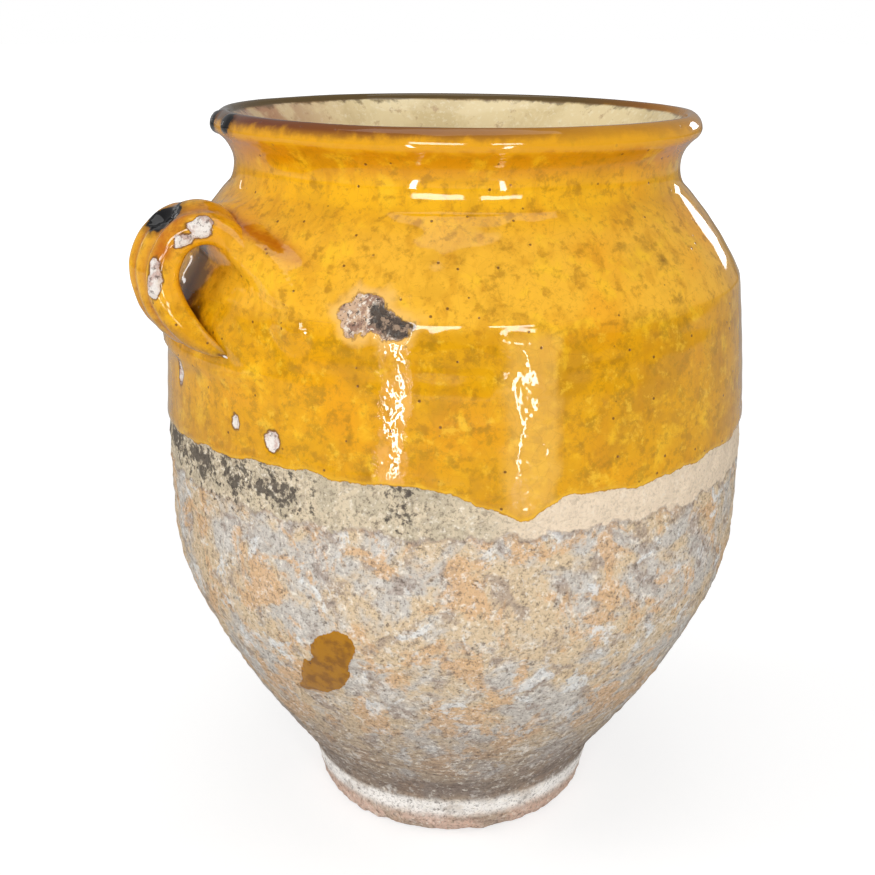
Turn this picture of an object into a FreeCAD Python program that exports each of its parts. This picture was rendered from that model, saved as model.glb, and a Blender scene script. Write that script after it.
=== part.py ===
"""A glazed confit pot: one piece of thrown clay with one pulled strap handle.

Millimetres, +Z up. The origin is the middle of the base, on the axis the pot was thrown
about. The handle stands on the -X side, with its middle plane in XZ, so that its finger
gap runs along Y.
"""
import FreeCAD, Part
import math
import os

# Foot: a low, nearly upright ring of clay with a worn, rounded bottom edge
base_radius = 57.2
bottom_edge_rise = 5.0
bottom_edge_run = 3.9
bottom_edge_bulge = 0.9
foot_rise = 14.5
foot_flare = 3.4
waist_rise = 9.0
waist_run = 4.6
waist_hollow = 0.55

# Wall: straight above the foot, then arcs that run smoothly into each other
cone_radius = 87.0
cone_rise = 26.6
belly_run = 6.2
haunch_rise = 51.9
belly_radius = 121.1
belly_rise = 32.0
belly_flat = 26.0
break_run = 5.5
break_rise = 73.5
break_round = 5.0

# Shoulder, neck and rolled lip
shoulder_run = 24.0
crease_rise = 33.7
crease_round = 4.0
shoulder_bulge = 1.5
neck_run = 2.1
neck_rise = 8.3
lip_low_run = 5.8
lip_low_rise = 10.6
lip_run = 1.8
lip_turn_rise = 2.9
crest_run = 3.7
crest_rise = 6.0

# Clay
wall = 8.5
floor_thickness = 11.0
floor_round = 22.0

# Handle: a strap pulled over a finger, its ends smeared out where they are pressed on
strap_width = 28.0
strap_thickness = 13.8
strap_squareness = 3.6
groove_depth = 1.6
groove_width = 4.8
groove_spacing = 10.5
finger_gap = 12.2
upper_root_rise = 18.5
crown_reach = 15.5
crown_rise = 25.6
apex_rise = 9.5
elbow_reach = 6.2
elbow_drop = 10.5
lower_root_drop = 24.5
root_depth = 9.0
anchor_depth = 22.0
upper_root_width = 96.0
lower_root_width = 88.0
upper_root_droop = 16.0
root_thickness = 11.0
smear_length = 0.42
section_points = 36
strap_rows = 26
skin_degree = 3

up = FreeCAD.Vector(0, 0, 1)
inwards = FreeCAD.Vector(1, 0, 0)
sideways = FreeCAD.Vector(0, 1, 0)
axis_foot = FreeCAD.Vector(0, 0, 0)
same_height = 0.01

# Radii, each worked out from the widest one
haunch_radius = belly_radius - belly_run
break_radius = belly_radius - break_run
crease_radius = break_radius - shoulder_run
neck_radius = crease_radius - neck_run
lip_low_radius = neck_radius + lip_low_run
lip_radius = lip_low_radius + lip_run
crest_radius = lip_radius - crest_run

# Heights from the base, each worked out from the rises
foot_top = bottom_edge_rise + foot_rise
waist_top = foot_top + waist_rise
cone_top = waist_top + cone_rise
haunch = cone_top + haunch_rise
belly = haunch + belly_rise
belly_top = belly + belly_flat
shoulder_break = belly_top + break_rise
crease = shoulder_break + crease_rise
neck = crease + neck_rise
lip_low = neck + lip_low_rise
lip_turn = lip_low + lip_turn_rise
rim = lip_turn + crest_rise


def at(radius, height):
    """A point of the half section, in the XZ plane on the +X side."""
    return FreeCAD.Vector(radius, 0, height)


def bulged(first, last, bulge):
    """An arc edge from first to last that stands out from its chord, right of travel."""
    chord = last - first
    side = FreeCAD.Vector(chord.z, 0, -chord.x).normalize()
    return Part.Arc(first, (first + last) * 0.5 + side * bulge, last).toShape()


def leaving(first, last, heading):
    """An arc edge from first to last that leaves first along a heading."""
    chord = last - first
    bulge = chord.Length / 2 * math.tan(heading.getAngle(chord) / 2)
    side = FreeCAD.Vector(chord.z, 0, -chord.x)
    return bulged(first, last, math.copysign(bulge, side.dot(heading)))


def arrival(edge):
    """The heading with which an edge arrives at its last point."""
    return edge.tangentAt(edge.LastParameter)


def foot_edges():
    """The foot's outside, from the middle of the base up to the start of the wall."""
    base_end = at(base_radius, 0)
    foot_start = at(base_radius + bottom_edge_run, bottom_edge_rise)
    foot_end = at(foot_start.x + foot_flare, foot_top)
    waist_end = at(foot_end.x + waist_run, waist_top)
    return [
        Part.makeLine(axis_foot, base_end),
        bulged(base_end, foot_start, bottom_edge_bulge),
        Part.makeLine(foot_start, foot_end),
        bulged(foot_end, waist_end, -waist_hollow),
    ]


def wall_edges(start):
    """The wall's outside, from the foot up over the belly and the shoulder to the lip."""
    cone_end = at(cone_radius, cone_top)
    belly_start = at(belly_radius, belly)
    belly_end = at(belly_radius, belly_top)
    break_point = at(break_radius, shoulder_break)
    crease_point = at(crease_radius, crease)
    lip_start = at(lip_low_radius, lip_low)
    haunch_edge = leaving(cone_end, at(haunch_radius, haunch), cone_end - start)
    return [
        Part.makeLine(start, cone_end),
        haunch_edge,
        leaving(at(haunch_radius, haunch), belly_start, arrival(haunch_edge)),
        Part.makeLine(belly_start, belly_end),
        leaving(belly_end, break_point, up),
        bulged(break_point, crease_point, shoulder_bulge),
        Part.Arc(crease_point, at(neck_radius, neck), lip_start).toShape(),
    ]


def lip_edges(throat, mouth):
    """The rolled lip, from the top of the throat over the crest to the mouth."""
    turn = at(lip_radius, lip_turn)
    crest = at(crest_radius, rim)
    underside = leaving(throat.lastVertex().Point, turn, arrival(throat))
    brow = leaving(turn, crest, up)
    return [underside, brow, leaving(crest, mouth, arrival(brow))]


def inner_edges(side):
    """The inside: the wall's outside moved in, run on down to a rounded floor."""
    moved = Part.Wire(side).makeOffset2D(wall, 2, False, True).Edges
    ends = [vertex.Point for vertex in Part.Wire(moved).Vertexes]
    mouth = max(ends, key=lambda point: point.z)
    cone_foot = min(ends, key=lambda point: point.z)
    down = (side[0].firstVertex().Point - side[0].lastVertex().Point).normalize()
    corner = cone_foot + down * ((floor_thickness - cone_foot.z) / down.z)
    back = floor_round * math.tan(down.getAngle(-inwards) / 2)
    round_start = corner - down * back
    round_end = corner - inwards * back
    edges = moved + [
        Part.makeLine(cone_foot, round_start),
        leaving(round_start, round_end, down),
        Part.makeLine(round_end, at(0, floor_thickness)),
    ]
    return edges, mouth


def turned(edges, mouth):
    """The solid inside a profile that starts on the axis and ends at the mouth."""
    top = at(0, mouth.z)
    start = min((v.Point for edge in edges for v in edge.Vertexes), key=lambda point: point.x)
    closing = [Part.makeLine(mouth, top), Part.makeLine(top, start)]
    face = Part.Face(Part.Wire(Part.__sortEdges__(edges + closing)))
    return face.revolve(axis_foot, up, 360)


def eased(solid, height, radius):
    """The solid with its round edge at a height rounded off."""
    edges = []
    for edge in solid.Edges:
        box = edge.BoundBox
        if abs(box.ZMax - height) < same_height and abs(box.ZMin - height) < same_height:
            edges.append(edge)
    return solid.makeFillet(radius, edges)


def wall_radius(side, height):
    """The outer radius of the wall or shoulder at a height."""
    level = Part.makeLine(at(0, height), at(2 * belly_radius, height))
    return Part.Wire(side).distToShape(level)[1][0][0].x


def strap_spine(side):
    """The middle line of the strap, from inside the shoulder round to inside the wall."""
    upper_root = shoulder_break + upper_root_rise
    crown = shoulder_break + crown_rise
    apex = shoulder_break + apex_rise
    elbow = shoulder_break - elbow_drop
    lower_root = shoulder_break - lower_root_drop
    stations = [
        (wall_radius(side, upper_root) - root_depth, upper_root),
        (wall_radius(side, crown) + crown_reach, crown),
        (wall_radius(side, apex) + finger_gap + strap_thickness / 2, apex),
        (wall_radius(side, elbow) + elbow_reach, elbow),
        (wall_radius(side, lower_root) - root_depth, lower_root),
    ]
    curve = Part.BSplineCurve()
    curve.interpolate(Points=[FreeCAD.Vector(-reach, 0, height) for reach, height in stations])
    return curve.toShape()


def groove(across):
    """How far the strap's outer face is pressed in at a distance across from its middle."""
    depth = 0
    for middle in (-groove_spacing / 2, groove_spacing / 2):
        share = abs(across - middle) / groove_width
        if share < 1:
            depth += groove_depth * (1 + math.cos(math.pi * share)) / 2
    return depth


def strap_row(place, along, width, thickness, smear, droop, bend):
    """Points round the strap: grooved outside, rounded sides, bent round the pot."""
    outward = sideways.cross(along)
    points = []
    for step in range(section_points):
        angle = 2 * math.pi * (step + 0.5) / section_points
        cosine, sine = math.cos(angle), math.sin(angle)
        reach = (abs(cosine) ** strap_squareness + abs(sine) ** strap_squareness) ** (
            -1 / strap_squareness
        )
        across = width / 2 * reach * cosine
        lift = thickness / 2 * reach * sine - droop * (reach * cosine) ** 2
        if sine > 0:
            lift -= (1 - smear) * groove(across * strap_width / width)
        sag = bend * across ** 2 / (2 * belly_radius)
        points.append(place + sideways * across + outward * lift + inwards * sag)
    return points


def strap(side):
    """The handle: a skin over rows of points along its middle line, widest at its roots."""
    spine = strap_spine(side)
    rows = []
    for step in range(strap_rows + 1):
        share = step / strap_rows
        place = spine.getParameterByLength(spine.Length * share)
        upper = max(0, 1 - share / smear_length) ** 2
        lower = max(0, 1 - (1 - share) / smear_length) ** 2
        smear = upper + lower
        width = strap_width + upper * (upper_root_width - strap_width)
        width += lower * (lower_root_width - strap_width)
        thickness = strap_thickness + smear * (root_thickness - strap_thickness)
        along = spine.tangentAt(place)
        form = [along, width, thickness, smear, upper * upper_root_droop]
        middle = spine.valueAt(place)
        rows.append(strap_row(middle, *form, smear))
        if step == 0:
            rows.insert(0, strap_row(middle - along * anchor_depth, *form, 0))
    rows.append(strap_row(middle + along * anchor_depth, *form, 0))
    return skinned(rows)


def skinned(rows):
    """A solid under a smooth skin whose control points are the rows, with flat ends."""
    spans = len(rows) - skin_degree
    ends = skin_degree + 1
    skin = Part.BSplineSurface()
    skin.buildFromPolesMultsKnots(
        rows,
        [ends] + [1] * (spans - 1) + [ends],
        [1] * (section_points + 1),
        [float(knot) for knot in range(spans + 1)],
        [float(knot) for knot in range(section_points + 1)],
        False,
        True,
        skin_degree,
        skin_degree,
    )
    side_face = skin.toShape()
    closed = [edge for edge in side_face.Edges if edge.isClosed()]
    caps = [Part.Face(Part.Wire(edge)) for edge in closed]
    shell = Part.Shell([side_face] + caps)
    shell.sewShape()
    return Part.Solid(Part.Shell(shell.Faces))


foot = foot_edges()
side = wall_edges(foot[-1].lastVertex().Point)
inside, mouth = inner_edges(side)
outside = foot + side + lip_edges(side[-1], mouth)

body = turned(outside, mouth)
body = eased(body, shoulder_break, break_round)
body = eased(body, crease, crease_round)
pot = body.fuse(strap(side)).cut(turned(inside, mouth)).Solids[0]

os.makedirs("parts", exist_ok=True)
pot.exportStep("parts/pot.step")
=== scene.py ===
"""A glazed confit pot in Blender: thrown clay, half dipped in honey glaze, with a strap handle.

Shapes are worked out in millimetres and put into the meshes in metres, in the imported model's
frame: +Z up, the axis through the middle of the base, the handle at -X. A bearing is an angle
round the axis in degrees, 0 towards the camera and positive to its right.
"""
import math

import bpy
import numpy as np
from mathutils import Euler, Matrix


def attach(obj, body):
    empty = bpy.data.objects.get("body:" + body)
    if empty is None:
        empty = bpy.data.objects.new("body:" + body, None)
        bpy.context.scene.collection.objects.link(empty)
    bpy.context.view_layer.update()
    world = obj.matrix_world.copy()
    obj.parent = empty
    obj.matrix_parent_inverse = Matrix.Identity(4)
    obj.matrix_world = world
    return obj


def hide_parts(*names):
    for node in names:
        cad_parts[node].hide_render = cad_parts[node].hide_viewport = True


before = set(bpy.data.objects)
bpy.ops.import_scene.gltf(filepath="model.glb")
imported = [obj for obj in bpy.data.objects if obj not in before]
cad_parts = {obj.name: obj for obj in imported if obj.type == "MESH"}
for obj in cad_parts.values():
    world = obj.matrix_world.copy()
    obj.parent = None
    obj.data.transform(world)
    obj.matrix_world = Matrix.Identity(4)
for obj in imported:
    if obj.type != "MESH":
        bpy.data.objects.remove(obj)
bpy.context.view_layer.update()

metre = 0.001

# Outline of the pot, the same sizes as in the part's source
base_radius = 57.2
foot_start = (61.1, 5.0)
foot_end = (64.5, 19.5)
waist_end = (69.1, 28.5)
cone_end = (87.0, 55.1)
haunch_end = (114.9, 107.0)
belly_start = (121.1, 139.0)
belly_end = (121.1, 165.0)
shoulder_break = (115.6, 238.5)
crease = (91.6, 272.2)
throat = (89.5, 280.5)
lip_start = (95.3, 291.1)
lip_turn = (97.1, 294.0)
crest = (93.4, 300.0)
mouth = (90.3, 298.0)
bottom_edge_bulge = 0.9
waist_hollow = 0.55
shoulder_bulge = 1.5
break_round = 5.0
crease_round = 4.0
wall = 8.5
floor_thickness = 11.0
floor_round = 22.0

# Where the wall still climbs below the lip, and the largest radius and height of the relief
climb_top = 284.0
widest = 121.05
highest = 300.15

# Strap handle: the part's middle line, width and finger gap, a section that is a little
# thinner, and ends that are smeared out wider and droop more
strap_width = 28.0
strap_thickness = 13.2
strap_squareness = 3.4
root_squareness = 1.8
groove_depth = 1.5
groove_width = 4.8
groove_spacing = 10.5
finger_gap = 12.2
strap_stations = [(18.5, -9.0), (25.6, 15.5), (9.5, None), (-10.5, 6.2), (-24.5, -9.0)]
anchor_depth = 8.0
upper_root_width = 118.0
lower_root_width = 108.0
upper_root_droop = 24.0
root_thickness = 11.0
smear_length = 0.42
strap_rows = 240
strap_columns = 120
weld = 9.0
deepest_root = 2.5

# Grid of the body: columns round it, and the spacing of its rows at heights up the outside
body_columns = 344
row_spacing = [
    (0, 1.4), (8, 3.0), (20, 3.2), (150, 3.4), (166, 1.7), (232, 1.6), (236, 0.6), (242, 0.6),
    (248, 1.6), (268, 1.4), (271, 0.8), (286, 0.9), (301, 0.9),
]
inside_spacing = [(0, 9.0), (230, 9.0), (262, 3.0), (285, 1.6), (300, 1.2)]

# Distances, in millimetres, that stand for out of a patch's reach
clear_off = 20.0
far_off = 60.0

# Degrees from the -Y side round to the camera, towards the handle
camera_turn = 32.0

# Coatings: bearings and heights of their edges, and patches as bearing, height, half width
# and half height
slip_line = 164.0
glaze_thickness = 0.55
glaze_edge = [
    (-180, 181), (-155, 184), (-128, 178), (-104, 182), (-84, 178), (-68, 180), (-49, 181.5),
    (-31, 184), (-22, 184), (-15, 181.5), (-9, 183), (-4, 181.9), (1, 179.3), (4.3, 176.3),
    (7, 173.2), (10, 171.2), (12.8, 170), (15.2, 172), (16.1, 174.2), (17, 177), (19, 177.9),
    (25, 178), (33, 176.8), (43, 178.7), (57, 180),
    (69, 180.6), (86, 183), (104, 179), (118, 176), (131, 182), (152, 185), (168, 180),
]
chips = [
    (-32.2, 192.5, 3.3, 3.6), (-41.0, 196.5, 1.8, 2.6), (-61.0, 205.3, 2.2, 4.6),
    (74.0, 188.0, 2.4, 2.0), (128.0, 214.0, 3.0, 2.4), (-150.0, 199.0, 2.2, 3.0),
]
burn_places = [(-15.6, 240.5, 8.0, 7.0), (-11.4, 238.0, 6.4, 5.2)]
char_places = [(-10.6, 238.2, 7.0, 4.8), (-12.6, 242.0, 3.6, 2.6)]
splash_outline = [
    (-29.0, 106.5), (-26.6, 106.0), (-26.8, 112.5), (-24.6, 119.6), (-20.9, 124.1), (-18.2, 122.6),
    (-16.9, 116.0), (-19.0, 110.5), (-19.6, 103.0), (-21.8, 94.5), (-26.7, 88.6), (-31.5, 86.6),
    (-35.6, 86.6), (-32.6, 90.5), (-31.2, 98.0),
]
soot_places = [
    (-64.0, 176.0, 16.0, 7.0), (-52.0, 175.0, 17.0, 7.5), (-42.0, 174.0, 12.0, 6.5),
    (-32.0, 175.0, 12.0, 6.0), (-8.5, 177.0, 2.6, 6.0), (-84.0, 176.0, 24.0, 7.0),
    (150.0, 171.0, 30.0, 6.0),
]
black_places = [(-77.0, 296.0, 7.5, 5.5), (-61.5, 297.4, 5.0, 4.6)]
# Grime patches, and painted shade on the wall behind the handle where the strap shades it
grime_and_shade_places = [
    (-60.0, 243.0, 16.0, 16.0), (-54.0, 229.0, 9.0, 9.0), (44.0, 240.0, 3.0, 5.0),
    (39.0, 257.5, 5.0, 2.0), (43.0, 252.0, 3.0, 3.0),
]
thick_run = (12.6, 206.0, 10.6, 36.0)
# A peach band beside the left lamp's highlight on the belly, a painted reflection; the same band also
# roughens the glaze's fine relief
reflection_trail_top = 237.0
reflection_trail_radius = 118.0
reflection_trail_line = [(170, -9.3), (192, -9.3), (203, -9.0), (213, -8.3), (223, -8.9), (236, -9.1)]
rim_scorch = [
    (-180, 0.8), (-100, 0.8), (-84, 1), (-50, 1), (-20, 0.9), (8, 0.7), (30, 0.35), (80, 0.35),
    (120, 0.8), (180, 0.8),
]
smear_top = [(-62, 262.5), (-45.5, 261.2), (-38, 258.8), (-33, 257.0), (-29, 254.5), (-20, 250)]
smear_foot = [
    (-62, 252), (-50, 250.5), (-45, 249.8), (-41, 248.2), (-36, 245.5), (-31, 241.5), (-20, 235),
]
smear_rise = [(-64, 0.0), (-54, 4.6), (-46, 5.4), (-41, 4.6), (-36, 2.8), (-30, 1.0), (-22, 0.0)]

# Heights and depths of the relief, in millimetres
bead_height = 0.25
run_height = 0.7
chip_depth = 0.9
burn_depth = 0.7
burn_crust = 0.5
lip_bead_height = 1.1
strap_chip_depth = 0.8
burnt_lump_height = 3.2
ring_spacing = 10.5

# The part of the wall that the strap can reach: its middle bearing and height, and how far
# it goes from them
strap_middle = (-58.0, 238.0)
strap_reach = (46.0, 42.0)


def arc(first, last, bulge, count=40):
    """Points on a circle from first to last, whose middle stands off the chord by bulge.

    Half the arc's angle is twice the arctangent of the bulge over half the chord.
    """
    first, last = np.array(first, float), np.array(last, float)
    length = np.linalg.norm(last - first)
    along = (last - first) / length
    side = np.array([along[1], -along[0]])
    if abs(bulge) < 1e-6:
        return first + np.linspace(0, length, count)[:, None] * along
    half = 2 * math.atan2(bulge, length / 2)
    radius = length / 2 / math.sin(half)
    middle = (first + last) / 2 - side * radius * math.cos(half)
    angles = np.linspace(-half, half, count)[:, None]
    return middle + radius * (np.cos(angles) * side + np.sin(angles) * along)


def leaving(first, last, heading):
    """An arc from first to last that leaves along heading, and the heading it arrives with."""
    heading = np.array(heading, float) / np.linalg.norm(heading)
    chord = np.array(last, float) - np.array(first, float)
    length = np.linalg.norm(chord)
    along = chord / length
    turn = math.acos(max(-1.0, min(1.0, float(heading @ along))))
    lean = heading @ np.array([along[1], -along[0]])
    bulge = math.copysign(length / 2 * math.tan(turn / 2), lean)
    return arc(first, last, bulge), 2 * (heading @ along) * along - heading


def through(first, middle, last):
    """An arc through three points: its bulge is found from the middle one by halving."""
    low, high = -20.0, 20.0
    middle = np.array(middle, float)
    for _ in range(40):
        bulge = (low + high) / 2
        points = arc(first, last, bulge, 400)
        nearest = points[np.argmin(np.linalg.norm(points - middle, axis=1))]
        side = np.array(last, float) - np.array(first, float)
        outside = (middle - nearest) @ np.array([side[1], -side[0]])
        low, high = (bulge, high) if outside > 0 else (low, bulge)
    return arc(first, last, bulge)


def eased(points, corner, radius):
    """The outline with a corner cut back and replaced by a quadratic curve."""
    index = int(np.argmin(np.linalg.norm(points - np.array(corner), axis=1)))
    before = points[index] - points[index - 2]
    after = points[index + 2] - points[index]
    cosine = before @ after / np.linalg.norm(before) / np.linalg.norm(after)
    back = radius * math.tan(math.acos(min(1.0, cosine)) / 2)
    away = np.linalg.norm(points - points[index], axis=1)
    near = np.flatnonzero(away < back)
    start, end = points[near[0] - 1], points[near[-1] + 1]
    share = np.linspace(0, 1, 12)[:, None]
    curve = (1 - share) ** 2 * start + 2 * share * (1 - share) * points[index] + share**2 * end
    return np.vstack([points[: near[0] - 1], curve, points[near[-1] + 2 :]])


def path_length(points):
    """Distance along a line of points up to each of them."""
    steps = np.linalg.norm(np.diff(points, axis=0), axis=1)
    return np.concatenate([[0], np.cumsum(steps)])


def along_path(points, distances):
    """Points at distances along a line of points."""
    whole = path_length(points)
    return np.stack([np.interp(distances, whole, points[:, axis]) for axis in (0, 1)], axis=1)


def outline():
    """The outside from the middle of the base to the mouth, and the wall's part of it."""
    haunch_arc, arrival = leaving(cone_end, haunch_end, np.subtract(cone_end, waist_end))
    pieces = [
        arc((0.0, 0.0), (base_radius, 0.0), 0),
        arc((base_radius, 0.0), foot_start, bottom_edge_bulge),
        arc(foot_start, foot_end, 0),
        arc(foot_end, waist_end, -waist_hollow),
    ]
    side = [
        arc(waist_end, cone_end, 0),
        haunch_arc,
        leaving(haunch_end, belly_start, arrival)[0],
        arc(belly_start, belly_end, 0),
        leaving(belly_end, shoulder_break, (0, 1))[0],
        arc(shoulder_break, crease, shoulder_bulge),
        through(crease, throat, lip_start),
    ]
    throat_heading = side[-1][-1] - side[-1][-2]
    brow, arrival = leaving(lip_turn, crest, (0, 1))
    lip = [leaving(lip_start, lip_turn, throat_heading)[0], brow, leaving(crest, mouth, arrival)[0]]
    outer = np.vstack(pieces + side + lip)
    keep = np.concatenate([[True], np.linalg.norm(np.diff(outer, axis=0), axis=1) > 1e-6])
    outer = outer[keep]
    fine = along_path(outer, np.arange(0, path_length(outer)[-1], 0.15))
    fine = eased(eased(fine, shoulder_break, break_round), crease, crease_round)
    return np.vstack([fine, [mouth]]), np.vstack(side)


def inside_outline(side):
    """The wall's outside moved in by its thickness, then down to a rounded floor."""
    fine = along_path(side, np.arange(0, path_length(side)[-1], 0.5))
    heading = np.gradient(fine, axis=0)
    heading /= np.linalg.norm(heading, axis=1)[:, None]
    moved = fine - wall * np.stack([heading[:, 1], -heading[:, 0]], axis=1)
    gaps = np.linalg.norm(moved[:, None] - fine[None], axis=2).min(1)
    moved = moved[gaps > wall - 0.02][::-1]
    down = np.subtract(waist_end, cone_end) / np.linalg.norm(np.subtract(waist_end, cone_end))
    foot = moved[-1]
    corner = foot + down * (floor_thickness - foot[1]) / down[1]
    turn = math.acos(float(down @ np.array([-1.0, 0.0])))
    back = floor_round * math.tan(turn / 2)
    curve = leaving(corner - down * back, corner - np.array([back, 0.0]), down)[0]
    return np.vstack([[mouth], moved[moved[:, 1] < mouth[1]], curve, [(0.0, floor_thickness)]])


def spaced(points, spacing):
    """The same line with points as far apart as the spacing says at their height."""
    whole = path_length(points)
    fine = np.linspace(0, whole[-1], 8000)
    heights = along_path(points, fine)[:, 1]
    density = 1 / np.interp(heights, *np.array(spacing, float).T)
    passed = np.concatenate([[0], np.cumsum((density[1:] + density[:-1]) / 2 * np.diff(fine))])
    count = int(round(passed[-1]))
    return along_path(points, np.interp(np.linspace(0, passed[-1], count + 1), passed, fine))


def ripples(points, size, seed, waves=18):
    """A sum of sine waves in random headings, of wavelengths near size, of about unit height."""
    chance = np.random.default_rng(seed)
    headings = chance.normal(size=(waves, 3))
    headings /= np.linalg.norm(headings, axis=1)[:, None]
    turns = headings * (2 * np.pi / (size * chance.uniform(0.7, 1.5, waves)))[:, None]
    phases = chance.uniform(0, 2 * np.pi, waves)
    return np.sin(points @ turns.T + phases).sum(-1) / math.sqrt(waves / 2)


def smooth(value, low, high):
    """0 below low, 1 above high, and a smooth S between."""
    share = np.clip((value - low) / (high - low), 0, 1)
    return share * share * (3 - 2 * share)


def off_patches(places, locate, shape):
    """Distance outside the nearest of some oval patches, below 0 inside them."""
    nearest = np.full(shape, far_off)
    for patch_bearing, patch_height, half_width, half_height in places:
        side, rise = locate(patch_bearing, patch_height)
        reach = np.hypot(side / half_width, rise / half_height) - 1
        nearest = np.minimum(nearest, reach * min(half_width, half_height))
    return nearest


def off_outline(corners, side, rise):
    """Distance outside a closed outline given by its corners, below 0 inside it."""
    within = np.zeros(side.shape, bool)
    nearest = np.full(side.shape, far_off)
    for start, end in zip(corners, np.roll(corners, -1, axis=0)):
        edge_side, edge_rise = end - start
        from_side, from_rise = side - start[0], rise - start[1]
        share = from_side * edge_side + from_rise * edge_rise
        share = np.clip(share / (edge_side**2 + edge_rise**2), 0, 1)
        away = np.hypot(from_side - share * edge_side, from_rise - share * edge_rise)
        nearest = np.minimum(nearest, away)
        crosses = (start[1] > rise) != (end[1] > rise)
        ahead = (from_side * edge_rise < from_rise * edge_side) == (edge_rise > 0)
        within ^= crosses & ahead
    return np.where(within, -nearest, nearest)


def surface_normals(grid):
    """Outward normals of a grid of points whose columns run round it."""
    round_step = np.roll(grid, -1, axis=1) - np.roll(grid, 1, axis=1)
    row_step = np.gradient(grid, axis=0)
    normals = np.cross(round_step, row_step)
    length = np.linalg.norm(normals, axis=2, keepdims=True)
    return normals / np.maximum(length, 1e-9)


def closed_mesh(name, grid, ends, fields):
    """A mesh of a grid whose columns run round, its first and last rows closed to two ends."""
    rows, columns = grid.shape[:2]
    points = np.vstack([grid.reshape(-1, 3), ends]) * metre
    index = np.arange(rows * columns).reshape(rows, columns)
    following = np.roll(index, -1, axis=1)
    quads = np.stack([index[:-1], following[:-1], following[1:], index[1:]], axis=-1)
    quads = quads.reshape(-1, 4)
    start_pole = np.full(columns, rows * columns)
    first_fan = np.stack([start_pole, following[0], index[0]], axis=-1)
    last_fan = np.stack([start_pole + 1, index[-1], following[-1]], axis=-1)
    corners = np.concatenate([quads.ravel(), first_fan.ravel(), last_fan.ravel()])
    sizes = np.concatenate([np.full(len(quads), 4), np.full(2 * columns, 3)])
    starts = np.concatenate([[0], np.cumsum(sizes)[:-1]])
    mesh = bpy.data.meshes.new(name)
    mesh.vertices.add(len(points))
    mesh.vertices.foreach_set("co", points.astype(np.float32).ravel())
    mesh.loops.add(len(corners))
    mesh.loops.foreach_set("vertex_index", corners.astype(np.int32))
    mesh.polygons.add(len(sizes))
    mesh.polygons.foreach_set("loop_start", starts.astype(np.int32))
    mesh.polygons.foreach_set("use_smooth", np.ones(len(sizes), bool))
    mesh.update(calc_edges=True)
    for field, values in fields.items():
        whole = np.concatenate([values.ravel(), [values[0].mean(), values[-1].mean()]])
        layer = mesh.attributes.new(field, "FLOAT", "POINT")
        layer.data.foreach_set("value", whole.astype(np.float32))
    piece = bpy.data.objects.new(name, mesh)
    bpy.context.scene.collection.objects.link(piece)
    return piece


def natural_spline(knots, values, places):
    """Cubic runs through the values that share slope and bend at the knots, free at the ends."""
    gaps = np.diff(knots)
    slopes = np.diff(values, axis=0) / gaps[:, None]
    system = np.eye(len(knots))
    right = np.zeros_like(values)
    for middle in range(1, len(knots) - 1):
        before, after = gaps[middle - 1], gaps[middle]
        system[middle, middle - 1 : middle + 2] = before, 2 * (before + after), after
        right[middle] = 6 * (slopes[middle] - slopes[middle - 1])
    bends = np.linalg.solve(system, right)
    run = np.clip(np.searchsorted(knots, places) - 1, 0, len(gaps) - 1)
    gap = gaps[run][:, None]
    ahead = (knots[run + 1] - places)[:, None]
    behind = (places - knots[run])[:, None]
    curve = (bends[run] * ahead**3 + bends[run + 1] * behind**3) / (6 * gap)
    curve += (values[run] / gap - bends[run] * gap / 6) * ahead
    return curve + (values[run + 1] / gap - bends[run + 1] * gap / 6) * behind


def strap_grid(wall_radius):
    """The strap: superellipse sections along its spine, grooved outside, wide at both roots."""
    stations = []
    for rise, reach in strap_stations:
        height = shoulder_break[1] + rise
        reach = finger_gap + strap_thickness / 2 if reach is None else reach
        stations.append((-(wall_radius(height) + reach), height))
    stations = np.array(stations)
    knots = path_length(stations)
    fine = natural_spline(knots, stations, np.linspace(0, knots[-1], 3000))
    shares = np.linspace(0, 1, strap_rows)
    middle = along_path(fine, shares * path_length(fine)[-1])
    heading = np.gradient(middle, axis=0)
    heading /= np.linalg.norm(heading, axis=1)[:, None]
    first = middle[0] - heading[0] * anchor_depth
    last = middle[-1] + heading[-1] * anchor_depth
    middle = np.vstack([first, middle, last])
    heading = np.vstack([heading[0], heading, heading[-1]])
    shares = np.concatenate([[0], shares, [1]])
    upper = np.clip(1 - shares / smear_length, 0, 1) ** 2
    lower = np.clip(1 - (1 - shares) / smear_length, 0, 1) ** 2
    smear = upper + lower
    width = strap_width + upper * (upper_root_width - strap_width)
    width = width + lower * (lower_root_width - strap_width)
    thickness = strap_thickness + smear * (root_thickness - strap_thickness)
    angles = 2 * np.pi * (np.arange(strap_columns) + 0.5) / strap_columns
    cosine, sine = np.cos(angles), np.sin(angles)
    power = (strap_squareness + smear * (root_squareness - strap_squareness))[:, None]
    reach = (np.abs(cosine) ** power + np.abs(sine) ** power) ** (-1 / power)
    across = width[:, None] / 2 * reach * cosine
    lift = thickness[:, None] / 2 * reach * sine
    lift = lift - (upper * upper_root_droop)[:, None] * (reach * cosine) ** 2
    flat = across * strap_width / width[:, None]
    grooves = np.zeros_like(flat)
    for place in (-groove_spacing / 2, groove_spacing / 2):
        share = np.clip(np.abs(flat - place) / groove_width, 0, 1)
        grooves += (1 + np.cos(np.pi * share)) / 2
    grooves *= (sine > 0) * (1 - smear[:, None])
    lift = lift - groove_depth * grooves
    bend = np.array([0] + [1] * strap_rows + [0])[:, None]
    sag = bend * smear[:, None] * across**2 / (2 * belly_start[0])
    outward = np.stack([heading[:, 1], -heading[:, 0]], axis=1)
    grid = np.stack(
        [
            middle[:, :1] + outward[:, :1] * lift + sag,
            across,
            middle[:, 1:] + outward[:, 1:] * lift,
        ],
        axis=2,
    )
    return grid, grooves


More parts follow.
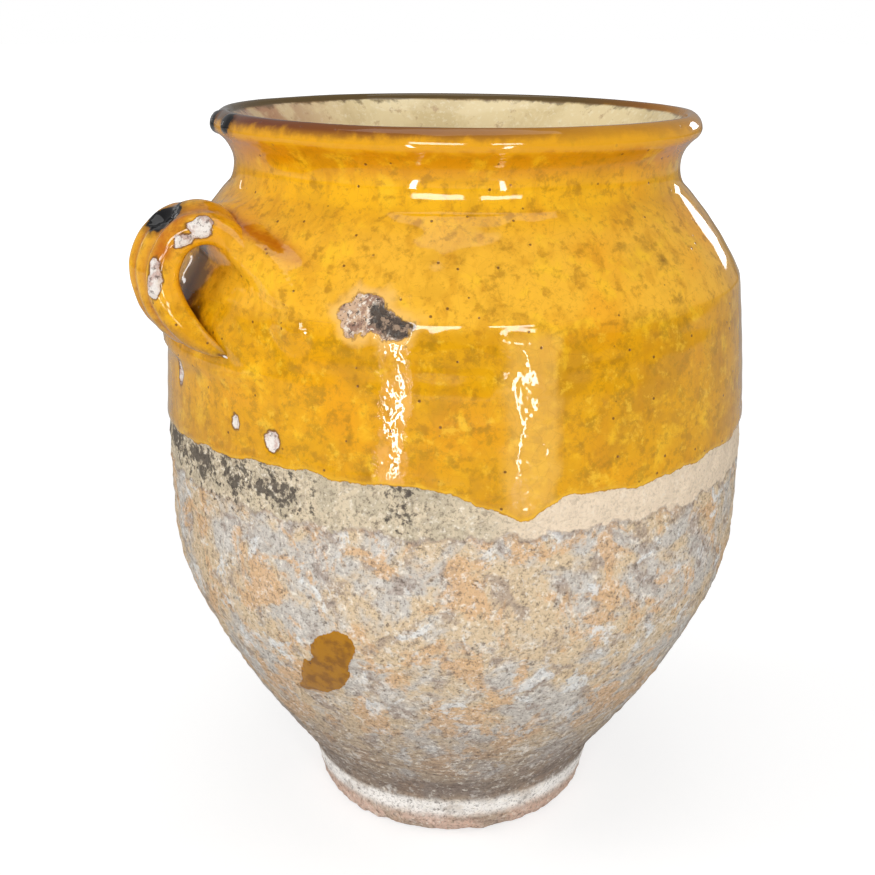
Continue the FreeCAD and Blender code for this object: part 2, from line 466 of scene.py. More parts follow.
def gap_to(points, others, block=400):
    """Distance from each point to the nearest of the others, worked out a block at a time."""
    found = []
    square = (others**2).sum(1)
    for start in range(0, len(points), block):
        some = points[start : start + block]
        apart = (some**2).sum(1)[:, None] + square[None] - 2 * some @ others.T
        found.append(np.sqrt(np.maximum(apart.min(1), 0)))
    return np.concatenate(found)


def fillet(gap):
    """How far a surface rises towards another at a gap: root of weld less root of gap, squared."""
    return (math.sqrt(weld) - np.sqrt(np.clip(gap, weld / 4, weld))) ** 2


def bearing_of(grid):
    """Bearing of points in degrees, 0 towards the camera."""
    turned = np.degrees(np.arctan2(grid[..., 0], -grid[..., 1])) + camera_turn
    return (turned + 180) % 360 - 180


# The plain outline and the strap
outer_line, side_line = outline()
inner_line = inside_outline(side_line)
outer_rows = spaced(outer_line, row_spacing)
inner_rows = spaced(inner_line, inside_spacing)
profile = np.vstack([outer_rows[1:], inner_rows[1:-1]])
outer_count = len(outer_rows) - 1
climbing = outer_line[(outer_line[:, 0] > base_radius) & (outer_line[:, 1] < climb_top)]


def wall_radius(height):
    """Outer radius of the pot at a height below its lip."""
    return np.interp(height, climbing[:, 1], climbing[:, 0])


strap, grooves = strap_grid(wall_radius)

# The body as a grid: rows of the profile turned about the axis
turns = 2 * np.pi * np.arange(body_columns) / body_columns
body = np.stack(
    [
        profile[:, :1] * np.cos(turns),
        profile[:, :1] * np.sin(turns),
        np.repeat(profile[:, 1:], body_columns, axis=1),
    ],
    axis=2,
)
normals = surface_normals(body)
bearing = bearing_of(body)
height = body[..., 2]
is_outside = (np.arange(len(profile)) < outer_count)[:, None] * np.ones_like(height)
distance = path_length(profile)[:, None] * np.ones_like(height)
outer_distance = path_length(outer_line)


def outer_level(side_height):
    """Distance up the outside to a height."""
    climb = outer_line[:, 0] > base_radius
    return np.interp(side_height, outer_line[climb][:, 1], outer_distance[climb])


def place_on_wall(side_bearing, side_height):
    """Distances across and up the wall from a place on it."""
    turn = (bearing - side_bearing + 180) % 360 - 180
    side = np.radians(turn) * np.hypot(body[..., 0], body[..., 1])
    return side, distance + profile[0, 0] - outer_level(side_height)


def off_wall_outline(places):
    """Distance outside an outline on the wall, whose corners are bearings and heights."""
    first_bearing, first_height = places[0]
    first_level = outer_level(first_height)
    corners = [
        (
            math.radians(corner_bearing - first_bearing) * wall_radius(corner_height),
            outer_level(corner_height) - first_level,
        )
        for corner_bearing, corner_height in places
    ]
    return off_outline(np.array(corners), *place_on_wall(first_bearing, first_height))


edge_bearings, edge_heights = np.array(glaze_edge + [(180, glaze_edge[0][1])], float).T
edge = np.interp(bearing, edge_bearings, edge_heights)
edge = (edge + np.roll(edge, 2, axis=1) + np.roll(edge, -2, axis=1)) / 3
rough_edge = ripples(body, 14, 3) * 0.5 + ripples(body, 5, 4) * 0.25
uneven = ripples(body, 9, 5) * 0.9 + ripples(body, 4, 6) * 0.5
splash = off_wall_outline(splash_outline) + uneven * 0.3
glaze = np.maximum(np.clip(height - edge + rough_edge, -clear_off, clear_off), -splash)
glaze = np.where(is_outside > 0, glaze, clear_off)
chip = np.where(is_outside > 0, off_patches(chips, place_on_wall, height.shape) + uneven * 0.2, clear_off)
burn = np.where(is_outside > 0, off_patches(burn_places, place_on_wall, height.shape) + uneven, clear_off)
char = np.where(is_outside > 0, off_patches(char_places, place_on_wall, height.shape) + uneven, clear_off)
soot = np.where(is_outside > 0, off_patches(soot_places, place_on_wall, height.shape), far_off)
black = np.where(is_outside > 0, off_patches(black_places, place_on_wall, height.shape), clear_off)
black = black + uneven * 0.3
# Distance to the grime patches and to the painted shade behind the handle
grime_and_shade = np.where(is_outside > 0, off_patches(grime_and_shade_places, place_on_wall, height.shape), far_off)
run_side, run_rise = place_on_wall(*thick_run[:2])
run_side += 0.7 * ripples(body, 13, 14)
run = smooth(run_side, -thick_run[2] - 1, -thick_run[2] + 5)
run *= 1 - smooth(run_side, thick_run[2] - 2.5, thick_run[2] + 0.5)
run *= smooth(run_rise, -thick_run[3] - 8, -thick_run[3] + 10) * (1 - smooth(run_rise, 26, 32))
run *= is_outside
reflection_trail_heights, reflection_trail_bearings = np.array(reflection_trail_line, float).T
reflection_trail = np.radians(bearing - np.interp(height, reflection_trail_heights, reflection_trail_bearings)) * reflection_trail_radius
reflection_trail = np.where(is_outside * (height < reflection_trail_top) > 0, reflection_trail, far_off)

# Relief of the body: all of it is at or below the plain outline where the pot is widest
below_top = np.interp(bearing, *np.array(smear_top, float).T) - height
above_foot = height - np.interp(bearing, *np.array(smear_foot, float).T)
smear = np.interp(bearing, *np.array(smear_rise, float).T) * is_outside
smear_share = smooth(smear, 0.2, 2.4)
smear = smear * smooth(below_top, -2.0, 4.5) * smooth(above_foot, -2.5, 2.5)
glazed = smooth(glaze, -0.3, 1.2)
bead = bead_height * np.exp(-(((glaze - 2.2) / 1.8) ** 2))
bare = (1 - glazed) * is_outside
relief = -glaze_thickness * bare + bead * is_outside
relief += bare * (0.16 * ripples(body, 7, 7) + 0.10 * ripples(body, 3.4, 8) - 0.12)
rings = np.sin(2 * np.pi * distance / ring_spacing + 0.8 * ripples(body, 120, 9))
relief += is_outside * (0.10 * bare + 0.05) * rings
relief += is_outside * 0.12 * ripples(body, 60, 10) + (1 - is_outside) * 0.3 * ripples(body, 50, 11)
relief += run_height * run + 0.16 * run * ripples(body, 13, 12)
relief += smear
relief -= chip_depth * (1 - smooth(chip, -1.0, 0.2))
relief -= (burn_depth + 0.35 * ripples(body, 3.6, 13)) * (1 - smooth(burn, -1.2, 0.4))
relief += burn_crust * np.exp(-(((burn - 1.2) / 1.4) ** 2)) * is_outside
relief += lip_bead_height * (1 - smooth(black, -2.5, 0.6))
near_strap = (is_outside > 0) & (np.abs(bearing - strap_middle[0]) < strap_reach[0])
near_strap &= np.abs(height - strap_middle[1]) < strap_reach[1]
strap_points = strap[::2, ::2].reshape(-1, 3)
strap_gap = np.full(height.shape, far_off)
strap_gap[near_strap] = gap_to(body[near_strap], strap_points)
relief += fillet(strap_gap)
on_base = height < 0.01
body = body + normals * np.where(on_base, 0, relief)[..., None]
spread = np.hypot(body[..., 0], body[..., 1])
shrink = np.minimum(1, widest / np.maximum(spread, 1e-6))
body[..., :2] *= shrink[..., None]
body[..., 2] = np.clip(body[..., 2], 0, highest)

# Relief of the strap: welded to the wall, chipped on the near rib, with a burnt lump on top
strap_normals = surface_normals(strap)
strap_radius = np.hypot(strap[..., 0], strap[..., 1])
strap_off = (strap_radius - wall_radius(strap[..., 2])) * 0.85
strap_relief = fillet(strap_off)
strap_angle = np.degrees(2 * np.pi * (np.arange(strap_columns) + 0.5) / strap_columns)
strap_places = {
    "chip": [
        (0.285, 152, 4.4, 3.6), (0.355, 178, 4.8, 2.2), (0.55, 144, 7.0, 2.4), (0.117, 143, 3.6, 1.6),
        (0.905, 156, 5.0, 1.5),
    ],
    "black": [(0.33, 84, 7.8, 9.0)],
    "rust": [(0.42, 141, 9.0, 4.5), (0.34, 126, 12.0, 3.4)],
}


def off_strap_patches(places):
    """Distance outside the nearest oval patch on the strap, below 0 inside it."""
    nearest = np.full(strap.shape[:2], clear_off)
    for share, angle, half_length, half_width in places:
        row = int(round(share * (strap_rows - 1))) + 1
        column = int(np.argmin(np.abs(strap_angle - angle)))
        away = strap - strap[row, column]
        heading = strap[row + 1, column] - strap[row - 1, column]
        heading /= np.linalg.norm(heading)
        along = away @ heading
        rest = np.sqrt(np.maximum((away**2).sum(-1) - along**2, 0))
        reach = np.hypot(along / half_length, rest / half_width) - 1
        nearest = np.minimum(nearest, reach * min(half_length, half_width))
    return nearest


strap_uneven = ripples(strap, 7, 21) * 0.7 + ripples(strap, 3.2, 22) * 0.4
strap_chip = off_strap_patches(strap_places["chip"]) + strap_uneven * 0.6
strap_black = off_strap_patches(strap_places["black"]) + strap_uneven * 0.5
strap_rust = 1 - smooth(off_strap_patches(strap_places["rust"]) + strap_uneven, -3.0, 3.0)
strap_relief += 0.12 * ripples(strap, 22, 23) + 0.05 * ripples(strap, 8, 24)
strap_relief -= strap_chip_depth * (1 - smooth(strap_chip, -1.0, 0.2))
strap_relief += burnt_lump_height * (1 - smooth(strap_black, -6, 0.4))
strap = strap + strap_normals * strap_relief[..., None]
spread = np.hypot(strap[..., 0], strap[..., 1])
buried = wall_radius(strap[..., 2]) - deepest_root
strap[..., :2] *= np.maximum(1, buried / spread)[..., None]
strap_ends = strap[[0, -1]].mean(axis=1)
spread = np.hypot(strap_ends[:, 0], strap_ends[:, 1])
strap_ends[:, :2] *= ((wall_radius(strap_ends[:, 2]) - deepest_root) / spread)[:, None]

well_off = np.full(strap.shape[:2], clear_off)
never_near = np.full(strap.shape[:2], far_off)
no_share = np.zeros(strap.shape[:2])
whole_share = np.ones(strap.shape[:2])
pot_body = closed_mesh(
    "pot_body",
    body,
    body[[0, -1]].mean(axis=1),
    {
        "glaze": glaze,
        "chip": chip,
        "burn": burn,
        "char": char,
        "soot": soot,
        "black": black,
        "run": run,
        "reflection_trail": reflection_trail,
        "grime_and_shade": grime_and_shade,
        "calm": smooth(bearing, 2, 16) * (1 - smooth(bearing, 70, 100)),
        "scorch": np.interp(bearing, *np.array(rim_scorch, float).T),
        "inside": 1 - is_outside,
        "fold": np.exp(-(((below_top - 0.5) / 2.6) ** 2)) * smear_share,
        "warm": np.where(is_outside > 0, smooth(-strap_gap, -55, -4), 0),
    },
)
strap_handle = closed_mesh(
    "strap_handle",
    strap,
    strap_ends,
    {
        "glaze": well_off,
        "chip": strap_chip,
        "burn": well_off,
        "char": well_off,
        "soot": never_near,
        "black": strap_black,
        "run": no_share,
        "reflection_trail": well_off,
        "grime_and_shade": never_near,
        "calm": no_share,
        "scorch": no_share,
        "inside": no_share,
        "fold": np.maximum(grooves * 0.7, strap_rust),
        "warm": whole_share,
    },
)


def tint(red, green, blue):
    """A colour written in screen values from 0 to 255, as the shader's linear values."""
    shares = np.array([red, green, blue]) / 255
    linear = np.where(shares < 0.04045, shares / 12.92, ((shares + 0.055) / 1.055) ** 2.4)
    return (*[float(share) for share in linear], 1.0)


class Finish:
    """A material being made: each call adds one node and gives back its output."""

    def __init__(self, name):
        self.material = bpy.data.materials.new(name)
        self.material.use_nodes = True
        self.nodes = self.material.node_tree.nodes
        self.links = self.material.node_tree.links
        self.shader = self.nodes["Principled BSDF"]

    def add(self, kind, inputs, **settings):
        """A node of a kind with its settings, and its inputs given as values or outputs."""
        node = self.nodes.new("ShaderNode" + kind)
        for setting, value in settings.items():
            setattr(node, setting, value)
        for socket, value in inputs.items():
            if isinstance(value, bpy.types.NodeSocket):
                self.links.new(value, node.inputs[socket])
            else:
                node.inputs[socket].default_value = value
        return node

    def figure(self, operation, first, second=0.0):
        """The result of one operation of arithmetic on two numbers."""
        return self.add("Math", {0: first, 1: second}, operation=operation).outputs[0]

    def times(self, first, second):
        """The product of two numbers."""
        return self.figure("MULTIPLY", first, second)

    def plus(self, first, second):
        """The sum of two numbers."""
        return self.figure("ADD", first, second)

    def span(self, value, low, high, start=0.0, end=1.0):
        """A number that goes smoothly from start to end as value goes from low to high."""
        inputs = {"Value": value, "From Min": low, "From Max": high, "To Min": start, "To Max": end}
        return self.add("MapRange", inputs, interpolation_type="SMOOTHSTEP").outputs[0]

    def cloud(self, place, size, detail=3.0, roughness=0.55, warp=0.0):
        """Soft noise whose blotches are about size across."""
        inputs = {"Vector": place, "Scale": 1 / size, "Detail": detail, "Roughness": roughness}
        inputs["Distortion"] = warp
        return self.add("TexNoise", inputs).outputs["Fac"]

    def over(self, share, under, top):
        """One colour laid over another by a share."""
        return self.add("Mix", {0: share, 6: under, 7: top}, data_type="RGBA").outputs[2]

    def patchy(self, under, top, noise, low, high, strength=1.0):
        """A colour laid over another where a noise is high."""
        return self.over(self.span(noise, low, high, 0.0, strength), under, top)

    def field(self, name):
        """One of the mesh's own fields."""
        return self.add("Attribute", {}, attribute_name=name).outputs["Fac"]


finish = Finish("honey_glaze_on_clay")
place = finish.add("VectorMath", {0: finish.add("TexCoord", {}).outputs["Object"]}, operation="SCALE")
place.inputs["Scale"].default_value = 1 / metre
place = place.outputs[0]
axes = finish.add("SeparateXYZ", {0: place}).outputs
level = axes[2]
fields = {
    name: finish.field(name)
    for name in (
        "glaze", "chip", "burn", "char", "soot", "black", "run", "reflection_trail", "grime_and_shade", "calm",
        "scorch", "inside", "fold", "warm",
    )
}
stretched_flat = finish.add("Mapping", {"Vector": place, "Scale": (0.16, 0.16, 1.0)}).outputs[0]
stretched_up = finish.add("Mapping", {"Vector": place, "Scale": (1.0, 1.0, 0.14)}).outputs[0]

# Noises of several sizes, shared by the coatings
huge = finish.cloud(place, 55, 3)
large = finish.cloud(place, 24, 5, 0.62, 0.4)
medium = finish.cloud(place, 11, 5, 0.62, 0.3)
small = finish.cloud(place, 5.0, 5, 0.65)
tiny = finish.cloud(place, 2.2, 4, 0.7)
grit = finish.cloud(place, 1.2, 2, 0.6)
streak = finish.cloud(stretched_flat, 3.2, 5, 0.68)
trickle = finish.cloud(stretched_up, 5.0, 3, 0.55)

# Bare clay: blotches of ochre and grey under a coarse grain, darker and streaked at the foot, with
# painted shade in the waist's hollow and painted light on the foot's flare
clay = finish.patchy(tint(214, 190, 156), tint(200, 193, 184), large, 0.44, 0.57)
clay = finish.patchy(clay, tint(160, 142, 130), medium, 0.51, 0.62, 0.7)
clay = finish.patchy(clay, tint(216, 176, 132), finish.cloud(place, 20, 5, 0.66, 0.5), 0.5, 0.58, 0.85)
clay = finish.patchy(clay, tint(226, 226, 224), finish.cloud(place, 13, 5, 0.68, 0.5), 0.56, 0.64, 0.85)
low_down = finish.span(level, 105, 25)
clay = finish.over(finish.times(low_down, 0.66), clay, tint(156, 141, 130))
streaky = finish.times(finish.span(level, 75, 38), finish.span(streak, 0.46, 0.62))
clay = finish.over(finish.times(streaky, 0.62), clay, tint(118, 101, 90))
# Painted shade: a darker band in the waist's hollow above the foot
painted_hollow_shade = finish.times(finish.span(level, 18, 23), finish.span(level, 42, 30))
clay = finish.over(finish.times(painted_hollow_shade, 0.5), clay, tint(120, 103, 92))
clay = finish.patchy(clay, tint(92, 74, 62), finish.cloud(place, 3.6, 4, 0.72), 0.6, 0.72, 0.9)
clay = finish.patchy(clay, tint(138, 118, 102), small, 0.54, 0.7, 0.4)
clay = finish.patchy(clay, tint(236, 230, 222), finish.cloud(place, 8, 5, 0.74), 0.56, 0.64, 0.5)
# Painted light: a near-white band on the top of the foot's flare
painted_flare_light = finish.times(finish.span(level, 8, 13), finish.span(level, 21, 17))
painted_flare_light = finish.times(painted_flare_light, finish.span(medium, 0.32, 0.52, 0.5, 1.0))
clay = finish.over(painted_flare_light, clay, tint(255, 250, 244))
foot_worn = finish.times(finish.span(level, 14, 6), finish.span(large, 0.4, 0.54, 0.3, 1.0))
clay = finish.over(finish.times(foot_worn, 0.6), clay, tint(246, 206, 184))

# Pale slip under the glaze's edge, smooth in front and sooty on the handle's side, with a painted shadow
# line along its lower edge
slip = finish.patchy(tint(214, 197, 168), tint(188, 175, 150), medium, 0.44, 0.62, 0.8)
slip = finish.patchy(slip, tint(166, 152, 132), small, 0.52, 0.66, 0.6)
slip = finish.over(fields["calm"], slip, tint(230, 210, 184))
slip_edge = finish.plus(level, finish.span(medium, 0.3, 0.7, -2.2, 2.2))
# Painted shadow: a thin mauve line along the slip's lower edge
painted_slip_edge_shadow = finish.times(
    finish.span(slip_edge, slip_line - 2.2, slip_line - 0.3),
    finish.span(slip_edge, slip_line + 1.2, slip_line),
)
matt = finish.over(finish.span(slip_edge, slip_line - 0.5, slip_line + 0.5), clay, slip)
matt = finish.over(finish.times(painted_slip_edge_shadow, 0.45), matt, tint(140, 122, 114))

# Coarse grain of the clay and the slip: dark pores and pale grains
slip_share = finish.span(slip_edge, slip_line - 0.5, slip_line + 0.5, 0.0, 0.6)
grain_share = finish.times(fields["calm"], slip_share)
grain_share = finish.figure("SUBTRACT", 1.0, grain_share)
pores = finish.times(finish.span(tiny, 0.46, 0.32, 0.0, 0.66), grain_share)
matt = finish.over(pores, matt, tint(88, 74, 62))
pale_grains = finish.times(finish.span(tiny, 0.54, 0.68, 0.0, 0.62), grain_share)
matt = finish.over(pale_grains, matt, tint(246, 238, 224))
pores = finish.times(finish.span(grit, 0.48, 0.34, 0.0, 0.4), grain_share)
matt = finish.over(pores, matt, tint(96, 82, 70))
soot_share = finish.plus(fields["soot"], finish.span(small, 0.3, 0.7, -6.0, 6.0))
soot_share = finish.plus(soot_share, finish.span(tiny, 0.3, 0.7, -4.5, 4.5))
soot_share = finish.span(soot_share, 1.5, -4.5, 0.0, 0.85)
matt = finish.over(soot_share, matt, tint(62, 54, 50))

# Honey glaze: golden neck, a paler peach shoulder that is a painted reflection of the bright sky,
# saturated belly, mottled olive and orange
# Painted reflection: above the break the upward-facing shoulder is paler and peach, as if it mirrored the
# bright sky
honey = finish.over(finish.span(level, 234, 240), tint(214, 154, 4), tint(236, 177, 46))
honey = finish.over(finish.span(level, 262, 272), honey, tint(236, 176, 18))
honey = finish.over(finish.span(level, 278, 289, 0.0, 0.7), honey, tint(196, 118, 6))
belly_olive = finish.times(finish.span(large, 0.46, 0.62), finish.span(level, 244, 232, 0.35, 0.9))
honey = finish.over(belly_olive, honey, tint(192, 136, 16))
honey = finish.patchy(honey, tint(230, 150, 2), huge, 0.5, 0.66, 0.45)
orange = finish.times(fields["warm"], finish.span(medium, 0.35, 0.6))
honey = finish.over(finish.times(orange, 0.4), honey, tint(242, 170, 6))
honey = finish.patchy(honey, tint(242, 192, 36), medium, 0.52, 0.68, 0.55)
honey = finish.patchy(honey, tint(158, 108, 10), small, 0.51, 0.68, 0.6)
on_belly = finish.span(level, 242, 232)
belly_fleck = finish.times(finish.span(finish.cloud(place, 8, 5, 0.74), 0.52, 0.64), on_belly)
honey = finish.over(finish.times(belly_fleck, 0.55), honey, tint(160, 116, 12))
belly_pale = finish.times(finish.span(finish.cloud(place, 6.5, 4, 0.7), 0.56, 0.68), on_belly)
honey = finish.over(finish.times(belly_pale, 0.5), honey, tint(240, 194, 52))
honey = finish.patchy(honey, tint(196, 132, 10), trickle, 0.52, 0.68, 0.4)
honey = finish.patchy(honey, tint(176, 118, 16), tiny, 0.54, 0.66, 0.4)
honey = finish.over(finish.times(fields["run"], 0.5), honey, tint(230, 180, 84))
# Painted reflection: a peach band beside the left highlight on the belly
reflection_trail_off = finish.plus(fields["reflection_trail"], finish.span(small, 0.3, 0.7, -1.6, 1.6))
reflection_trail_share = finish.times(finish.span(reflection_trail_off, -8.0, -6.5), finish.span(reflection_trail_off, 3.0, 1.8))
reflection_trail_patch = finish.span(medium, 0.35, 0.6, 0.1, 0.65)
honey = finish.over(finish.times(reflection_trail_share, reflection_trail_patch), honey, tint(228, 168, 88))
thin_edge = finish.span(fields["glaze"], 2.2, 0.4, 0.0, 0.55)
honey = finish.over(thin_edge, honey, tint(232, 180, 44))
honey = finish.over(finish.span(fields["glaze"], 0.7, 0.1, 0.0, 0.6), honey, tint(150, 98, 22))
amber = finish.patchy(tint(166, 112, 4), tint(134, 86, 6), small, 0.44, 0.62)
honey = finish.over(finish.span(level, 152, 146), honey, amber)
cracks = finish.add("TexVoronoi", {"Vector": place, "Scale": 1 / 5.5}, feature="DISTANCE_TO_EDGE")
craze = finish.span(cracks.outputs["Distance"], 0.025, 0.0, 0.0, 0.16)
honey = finish.over(craze, honey, tint(150, 92, 14))
dots = finish.add("TexVoronoi", {"Vector": place, "Scale": 1 / 6.0}, feature="F1")
dot_chance = finish.span(finish.add("SeparateXYZ", {0: dots.outputs["Color"]}).outputs[0], 0.3, 0.35)
pinhole = finish.span(dots.outputs["Distance"], 0.11, 0.06)
pinhole = finish.times(pinhole, dot_chance)
honey = finish.over(finish.times(pinhole, 0.85), honey, tint(96, 54, 12))
# Olive-brown grime, and painted shade on the wall behind the handle
grime_and_shade_share = finish.plus(fields["grime_and_shade"], finish.span(medium, 0.3, 0.7, -5.0, 5.0))
grime_and_shade_share = finish.span(grime_and_shade_share, 3.0, -8.0, 0.0, 0.92)
honey = finish.over(grime_and_shade_share, honey, tint(114, 78, 12))
fold_share = finish.times(fields["fold"], finish.span(medium, 0.3, 0.6, 0.45, 0.9))
honey = finish.over(fold_share, honey, tint(180, 92, 12))

# Lip: streaky yellow, scorched maroon in front and dark olive behind along its crest
radius_squared = finish.plus(finish.times(axes[0], axes[0]), finish.times(axes[1], axes[1]))
radius = finish.figure("SQRT", radius_squared)
crest_line = finish.plus(level, finish.span(medium, 0.3, 0.7, -1.2, 1.2))
crest_line = finish.plus(crest_line, finish.span(small, 0.3, 0.7, -0.7, 0.7))
honey = finish.over(finish.span(crest_line, 290.5, 293, 0.0, 0.75), honey, tint(226, 162, 22))
scorched = finish.times(finish.span(crest_line, 294.5, 298), finish.span(radius, 99, 95.2))
scorched = finish.times(scorched, fields["scorch"])
honey = finish.over(scorched, honey, tint(108, 52, 24))
behind = finish.span(axes[1], -20, 40)
crest_behind = finish.times(behind, finish.span(level, 296.5, 298.0))
honey = finish.over(finish.times(crest_behind, 0.85), honey, tint(84, 74, 44))

# Inside: cream glaze, speckled, stained mauve towards the handle
cream = finish.patchy(tint(236, 216, 168), tint(214, 192, 142), large, 0.45, 0.65, 0.7)
cream = finish.patchy(cream, tint(176, 140, 104), small, 0.56, 0.7, 0.6)
cream = finish.patchy(cream, tint(248, 236, 204), tiny, 0.52, 0.68, 0.5)
stain = finish.times(finish.span(axes[0], 10, -60), finish.span(level, 262, 284))
stain = finish.times(stain, finish.span(medium, 0.36, 0.56, 0.4, 1.0))
cream = finish.over(finish.times(stain, 0.85), cream, tint(170, 116, 86))
cream = finish.over(finish.span(crest_line, 296.5, 298.5, 0.0, 0.8), cream, tint(104, 84, 56))
glassy = finish.over(fields["inside"], honey, cream)

# Coating chosen by the field that tells how far a place is above the glaze's edge
edge_noise = finish.span(tiny, 0.3, 0.7, -0.4, 0.4)
glaze_share = finish.span(finish.plus(fields["glaze"], edge_noise), -0.15, 0.15)
colour = finish.over(glaze_share, matt, glassy)

# Burn, chips and black beads
halo = finish.span(fields["burn"], 5.5, 0.5, 0.0, 0.8)
colour = finish.over(finish.times(halo, glaze_share), colour, tint(236, 186, 100))
ragged = finish.span(tiny, 0.3, 0.7, -0.6, 0.6)
burn_off = finish.plus(fields["burn"], ragged)
chip_off = finish.plus(fields["chip"], finish.span(tiny, 0.3, 0.7, -0.3, 0.3))
scab = finish.patchy(tint(206, 172, 142), tint(150, 116, 98), small, 0.45, 0.6)
scab = finish.patchy(scab, tint(240, 228, 212), tiny, 0.5, 0.62, 0.9)
scab = finish.patchy(scab, tint(62, 52, 46), grit, 0.54, 0.64, 0.8)
burn_share = finish.span(burn_off, 0.2, -0.2)
burn_rim = finish.times(finish.span(burn_off, 0.9, 0.3), glaze_share)
colour = finish.over(finish.times(burn_rim, 0.5), colour, tint(120, 76, 36))
colour = finish.over(burn_share, colour, scab)
char_off = finish.plus(fields["char"], ragged)
char_share = finish.span(char_off, 0.5, -1.5, 0.0, 0.9)
colour = finish.over(char_share, colour, tint(50, 46, 44))
flecks = finish.times(finish.span(small, 0.54, 0.6), char_share)
colour = finish.over(finish.times(flecks, 0.8), colour, tint(176, 150, 126))
wound = finish.patchy(tint(236, 228, 220), tint(206, 180, 170), small, 0.48, 0.62)
wound = finish.patchy(wound, tint(104, 88, 80), tiny, 0.54, 0.64, 0.8)
wound_rim = finish.span(chip_off, 1.1, 0.3, 0.0, 0.85)
colour = finish.over(finish.times(wound_rim, glaze_share), colour, tint(98, 60, 26))
chip_share = finish.span(chip_off, 0.25, -0.15)
colour = finish.over(chip_share, colour, wound)
bead_off = finish.plus(fields["black"], finish.span(small, 0.3, 0.7, -0.8, 0.8))
bead_share = finish.span(bead_off, 0.6, -0.6)
colour = finish.over(finish.span(bead_off, 3.5, 0.5, 0.0, 0.5), colour, tint(96, 48, 14))
colour = finish.over(bead_share, colour, tint(14, 14, 16))
finish.links.new(colour, finish.shader.inputs["Base Color"])

# Gloss: wet on the glaze, dull on clay and in the wounds
broken = finish.figure("MAXIMUM", chip_share, burn_share)
gloss = finish.times(glaze_share, finish.figure("SUBTRACT", 1.0, broken))
wet = finish.span(large, 0.35, 0.7, 0.03, 0.08)
dull = finish.span(small, 0.35, 0.65, 0.78, 0.95)
sheen = finish.add("Mix", {0: gloss, 2: dull, 3: wet}, data_type="FLOAT").outputs[0]
finish.links.new(sheen, finish.shader.inputs["Roughness"])
finish.shader.inputs["IOR"].default_value = 1.5

# Fine relief, in millimetres
bare_share = finish.figure("SUBTRACT", 1.0, gloss)
grain = finish.plus(finish.span(tiny, 0.2, 0.8, 0.0, 0.4), finish.span(grit, 0.2, 0.8, 0.0, 0.2))
grain = finish.plus(grain, finish.span(small, 0.2, 0.8, 0.0, 0.5))
grain = finish.times(grain, bare_share)
skin = finish.times(finish.span(finish.cloud(place, 16, 1), 0.2, 0.8, 0.0, 0.2), gloss)
uneven_share = finish.figure("MAXIMUM", fields["run"], reflection_trail_share)
uneven_share = finish.figure("MAXIMUM", uneven_share, finish.span(fields["glaze"], 8.0, 1.0, 0.0, 0.7))
uneven_share = finish.times(uneven_share, gloss)
crinkle = finish.span(finish.cloud(place, 6.0, 2, 0.55), 0.25, 0.75, 0.0, 0.13)
crinkle = finish.times(crinkle, uneven_share)
pit = finish.times(finish.times(pinhole, gloss), -0.1)
step = finish.times(glaze_share, 0.3)
wound_drop = finish.times(broken, -0.35)
relief_height = grain
for part in (skin, crinkle, pit, step, wound_drop):
    relief_height = finish.plus(relief_height, part)
bump = finish.add("Bump", {"Height": relief_height, "Distance": metre, "Strength": 1.0})
finish.links.new(bump.outputs[0], finish.shader.inputs["Normal"])

for piece in (pot_body, strap_handle):
    piece.data.materials.append(finish.material)
    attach(piece, "root")
    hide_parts("pot")


def beside(side_bearing, reach, rise):
    """A place at a bearing, a distance from the axis and a height, in metres."""
    turn = math.radians(side_bearing - camera_turn)
    return (reach * math.sin(turn), -reach * math.cos(turn), rise)


def soft_light(name, place, aim, width, height, brightness):
    """A flat lamp that faces aim and glows evenly with a brightness, white being 1."""
    lamp = bpy.data.lights.new(name, "AREA")
    lamp.shape = "RECTANGLE"
    lamp.size = width
    lamp.size_y = height
    lamp.energy = brightness * math.pi * width * height
    holder = bpy.data.objects.new(name, lamp)
    bpy.context.scene.collection.objects.link(holder)
    holder.location = place
    heading = np.subtract(aim, place)
    flat = math.hypot(heading[0], heading[1])
    holder.rotation_euler = (
        math.atan2(flat, -heading[2]),
        0,
        math.atan2(-heading[0], heading[1]),
    )
    holder.visible_camera = False
    return holder


# Lamps: two windows and their strips low on the belly, two fills that don't show in the
# glaze, two at the edges and one on top
pot_middle = (0.0, 0.0, 0.17)
soft_light("window_left", beside(-8.5, 2.4, 0.8), pot_middle, 1.0, 0.5, 12)
soft_light("window_right", beside(20, 2.4, 0.8), pot_middle, 0.68, 0.36, 12)
soft_light("strip_left", beside(-19, 0.62, 0.13), pot_middle, 0.018, 0.24, 32)
soft_light("strip_right", beside(21, 0.62, 0.13), pot_middle, 0.036, 0.24, 20)
side_fill = soft_light("side_fill", beside(95, 1.8, 0.9), pot_middle, 1.0, 1.2, 2.1)
side_fill.visible_glossy = False
left_fill = soft_light("left_fill", beside(-85, 1.8, 0.8), pot_middle, 1.0, 1.2, 3.8)
left_fill.visible_glossy = False
soft_light("edge_right", beside(144, 2.4, 0.6), pot_middle, 0.4, 0.45, 5)
soft_light("edge_left", beside(-136, 2.4, 0.6), pot_middle, 0.08, 0.45, 3)
soft_light("top", (0.0, 0.0, 2.2), pot_middle, 1.6, 1.6, 1.2)

# World: an even light from all round, and a white background for the camera alone
surround_strength = 0.33
background_strength = 1.0
world = bpy.data.worlds.new("studio")
bpy.context.scene.world = world
world.use_nodes = True
sky = world.node_tree.nodes["Background"]
sight = world.node_tree.nodes.new("ShaderNodeLightPath")
glow = world.node_tree.nodes.new("ShaderNodeMapRange")
glow.inputs["To Min"].default_value = surround_strength
glow.inputs["To Max"].default_value = background_strength
world.node_tree.links.new(sight.outputs["Is Camera Ray"], glow.inputs["Value"])
world.node_tree.links.new(glow.outputs[0], sky.inputs["Strength"])
sky.inputs["Color"].default_value = (1.0, 1.0, 1.0, 1.0)

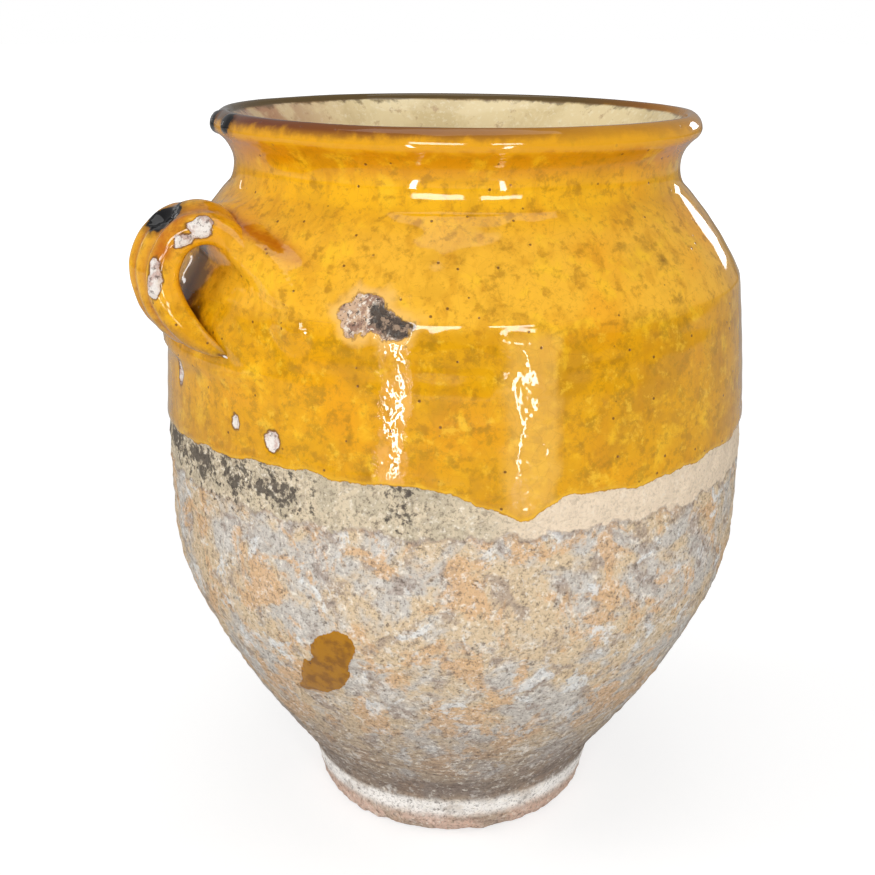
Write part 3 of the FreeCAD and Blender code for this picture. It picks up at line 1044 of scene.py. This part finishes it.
# Floor: a wide grey sheet that the camera sees as white, and that keeps the pot's shadow
floor_half = 12.0
floor_grey = 0.5
floor_mesh = bpy.data.meshes.new("studio_floor")
floor_mesh.from_pydata(
    [
        (-floor_half, -floor_half, 0), (floor_half, -floor_half, 0),
        (floor_half, floor_half, 0), (-floor_half, floor_half, 0),
    ],
    [],
    [(0, 1, 2, 3)],
)
studio_floor = bpy.data.objects.new("studio_floor", floor_mesh)
bpy.context.scene.collection.objects.link(studio_floor)
paper = Finish("white_paper")
paper.shader.inputs["Base Color"].default_value = (floor_grey, floor_grey, floor_grey, 1.0)
paper.shader.inputs["Roughness"].default_value = 0.9
paper.shader.inputs["Specular IOR Level"].default_value = 0.0
seen = paper.add("LightPath", {}).outputs["Is Camera Ray"]
spot = paper.add("TexCoord", {}).outputs["Object"]
far = paper.add("VectorMath", {0: spot}, operation="LENGTH").outputs["Value"]
whitening = paper.span(far, 0.3, 1.6, 0.62, 1.0)
paper.links.new(paper.times(seen, whitening), paper.shader.inputs["Emission Strength"])
paper.shader.inputs["Emission Color"].default_value = (1.0, 1.0, 1.0, 1.0)
floor_mesh.materials.append(paper.material)

# Camera, fitted to the photograph
camera_reach = 0.52179
camera_height = 0.33684
camera_pitch = 18.68
camera_roll = 0.6225
focal_pixels = 1262.0
picture_pixels = 875.0
axis_offset_pixels = 16.87
sensor_width = 36.0
lens = bpy.data.cameras.new("camera")
lens.sensor_width = sensor_width
lens.lens = focal_pixels / picture_pixels * sensor_width
lens.shift_x = -axis_offset_pixels / picture_pixels
lens.clip_start = 0.01
lens.clip_end = 100
camera = bpy.data.objects.new("camera", lens)
bpy.context.scene.collection.objects.link(camera)
camera.location = beside(0, camera_reach, camera_height)
facing = Euler(
    (math.radians(90 - camera_pitch), 0, math.radians(-camera_turn))
).to_matrix()
rolled = Matrix.Rotation(math.radians(camera_roll), 3, "Z")
camera.rotation_euler = (facing @ rolled).to_euler()
bpy.context.scene.camera = camera

bpy.context.scene.view_settings.view_transform = "Standard"
